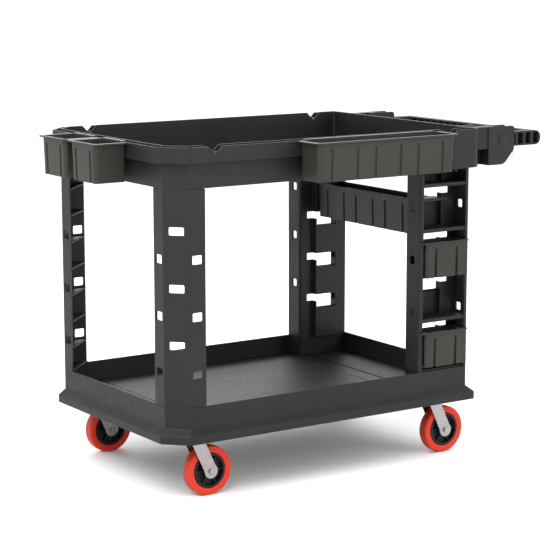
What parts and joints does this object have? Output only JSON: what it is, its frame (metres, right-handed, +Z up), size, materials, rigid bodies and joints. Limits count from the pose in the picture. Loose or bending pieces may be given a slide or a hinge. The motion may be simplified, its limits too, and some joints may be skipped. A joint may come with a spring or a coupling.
{
  "type": "rolling utility cart",
  "caption": "Wheeled utility cart with deep upper and lower trays, slotted corner legs and columns, a folding push handle, hang-on bins and swivel casters.",
  "frame": {"origin": "centre of the base of the whole cart's box, at floor level", "axes": "+X towards the push handle (rear), -X towards the front bins, +Y towards the right side away from the long side bin, +Z up"},
  "size_m": [1.3, 0.739, 0.8849],
  "materials": {
    "structural_resin": "moulded structural foam, fine leather grain",
    "bin_resin": "moulded polypropylene, fine matte grain",
    "hub_cap_resin": "smooth moulded disc",
    "washer_nylon": "black nylon",
    "black_screws": "black oxide",
    "zinc_bolts": "bright zinc plate",
    "zinc_pressing": "bright zinc plated pressing",
    "bearing_steel": "ground bearing steel",
    "wheel_core_resin": "black moulded polypropylene",
    "wheel_tread_rubber": "red-orange thermoplastic rubber, dull"
  },
  "bodies": {
    "cart_frame": {"lower_shelf": "structural_resin", "upper_shelf": "structural_resin", "front_left_leg": "structural_resin", "front_right_leg": "structural_resin", "rear_left_column": "structural_resin", "rear_right_column": "structural_resin", "left_hub_cap": "hub_cap_resin", "right_hub_cap": "hub_cap_resin", "handle_pivot_bolts": "zinc_bolts", "handle_friction_washers": "washer_nylon", "frame_screws": "black_screws", "caster_screws": "zinc_bolts", "front_left_plate": "zinc_pressing", "front_left_kingpin": "zinc_bolts", "front_right_plate": "zinc_pressing", "front_right_kingpin": "zinc_bolts", "rear_left_plate": "zinc_pressing", "rear_left_kingpin": "zinc_bolts", "rear_right_plate": "zinc_pressing", "rear_right_kingpin": "zinc_bolts"},
    "handle": {"handle": "structural_resin"},
    "side_bin": {"side_bin": "bin_resin"},
    "twin_bin": {"twin_bin": "bin_resin"},
    "cross_bin": {"cross_bin": "bin_resin"},
    "upper_pocket_bin": {"upper_pocket_bin": "bin_resin"},
    "lower_pocket_bin": {"lower_pocket_bin": "bin_resin"},
    "front_left_swivel": {"front_left_fork": "zinc_pressing", "front_left_swivel_balls": "bearing_steel", "front_left_axle_bolt": "zinc_bolts", "front_left_axle_sleeve": "zinc_bolts"},
    "front_left_wheel": {"front_left_wheel_core": "wheel_core_resin", "front_left_wheel_tread": "wheel_tread_rubber", "front_left_bearings": "bearing_steel"},
    "front_right_swivel": {"front_right_fork": "zinc_pressing", "front_right_swivel_balls": "bearing_steel", "front_right_axle_bolt": "zinc_bolts", "front_right_axle_sleeve": "zinc_bolts"},
    "front_right_wheel": {"front_right_wheel_core": "wheel_core_resin", "front_right_wheel_tread": "wheel_tread_rubber", "front_right_bearings": "bearing_steel"},
    "rear_left_swivel": {"rear_left_fork": "zinc_pressing", "rear_left_swivel_balls": "bearing_steel", "rear_left_axle_bolt": "zinc_bolts", "rear_left_axle_sleeve": "zinc_bolts"},
    "rear_left_wheel": {"rear_left_wheel_core": "wheel_core_resin", "rear_left_wheel_tread": "wheel_tread_rubber", "rear_left_bearings": "bearing_steel"},
    "rear_right_swivel": {"rear_right_fork": "zinc_pressing", "rear_right_swivel_balls": "bearing_steel", "rear_right_axle_bolt": "zinc_bolts", "rear_right_axle_sleeve": "zinc_bolts"},
    "rear_right_wheel": {"rear_right_wheel_core": "wheel_core_resin", "rear_right_wheel_tread": "wheel_tread_rubber", "rear_right_bearings": "bearing_steel"}
  },
  "joints": [
    {"name": "handle_hinge", "type": "hinge", "parent": "cart_frame", "child": "handle", "pos_m": [0.51, 0.0415, 0.842], "axis": [0, -1, 0], "range_deg": [0, 90]},
    {"name": "side_bin_lift", "type": "slide", "parent": "cart_frame", "child": "side_bin", "axis": [0, 0, 1], "range_m": [0, 0.12]},
    {"name": "twin_bin_lift", "type": "slide", "parent": "cart_frame", "child": "twin_bin", "axis": [0, 0, 1], "range_m": [0, 0.12]},
    {"name": "cross_bin_lift", "type": "slide", "parent": "cart_frame", "child": "cross_bin", "axis": [0, 0, 1], "range_m": [0, 0.02]},
    {"name": "upper_pocket_bin_pull", "type": "slide", "parent": "cart_frame", "child": "upper_pocket_bin", "axis": [0, -1, 0], "range_m": [0, 0.06]},
    {"name": "lower_pocket_bin_pull", "type": "slide", "parent": "cart_frame", "child": "lower_pocket_bin", "axis": [0, -1, 0], "range_m": [0, 0.06]},
    {"name": "front_left_swivel_turn", "type": "hinge", "parent": "cart_frame", "child": "front_left_swivel", "pos_m": [-0.453, -0.2125, 0.15], "axis": [0, 0, 1], "continuous": true},
    {"name": "front_left_wheel_roll", "type": "hinge", "parent": "front_left_swivel", "child": "front_left_wheel", "pos_m": [-0.412, -0.2125, 0.0635], "axis": [0, 1, 0], "continuous": true},
    {"name": "front_right_swivel_turn", "type": "hinge", "parent": "cart_frame", "child": "front_right_swivel", "pos_m": [-0.453, 0.2955, 0.15], "axis": [0, 0, 1], "continuous": true},
    {"name": "front_right_wheel_roll", "type": "hinge", "parent": "front_right_swivel", "child": "front_right_wheel", "pos_m": [-0.412, 0.2955, 0.0635], "axis": [0, 1, 0], "continuous": true},
    {"name": "rear_left_swivel_turn", "type": "hinge", "parent": "cart_frame", "child": "rear_left_swivel", "pos_m": [0.295, -0.2125, 0.15], "axis": [0, 0, 1], "continuous": true},
    {"name": "rear_left_wheel_roll", "type": "hinge", "parent": "rear_left_swivel", "child": "rear_left_wheel", "pos_m": [0.336, -0.2125, 0.0635], "axis": [0, 1, 0], "continuous": true},
    {"name": "rear_right_swivel_turn", "type": "hinge", "parent": "cart_frame", "child": "rear_right_swivel", "pos_m": [0.295, 0.2955, 0.15], "axis": [0, 0, 1], "continuous": true},
    {"name": "rear_right_wheel_roll", "type": "hinge", "parent": "rear_right_swivel", "child": "rear_right_wheel", "pos_m": [0.336, 0.2955, 0.0635], "axis": [0, 1, 0], "continuous": true}
  ]
}
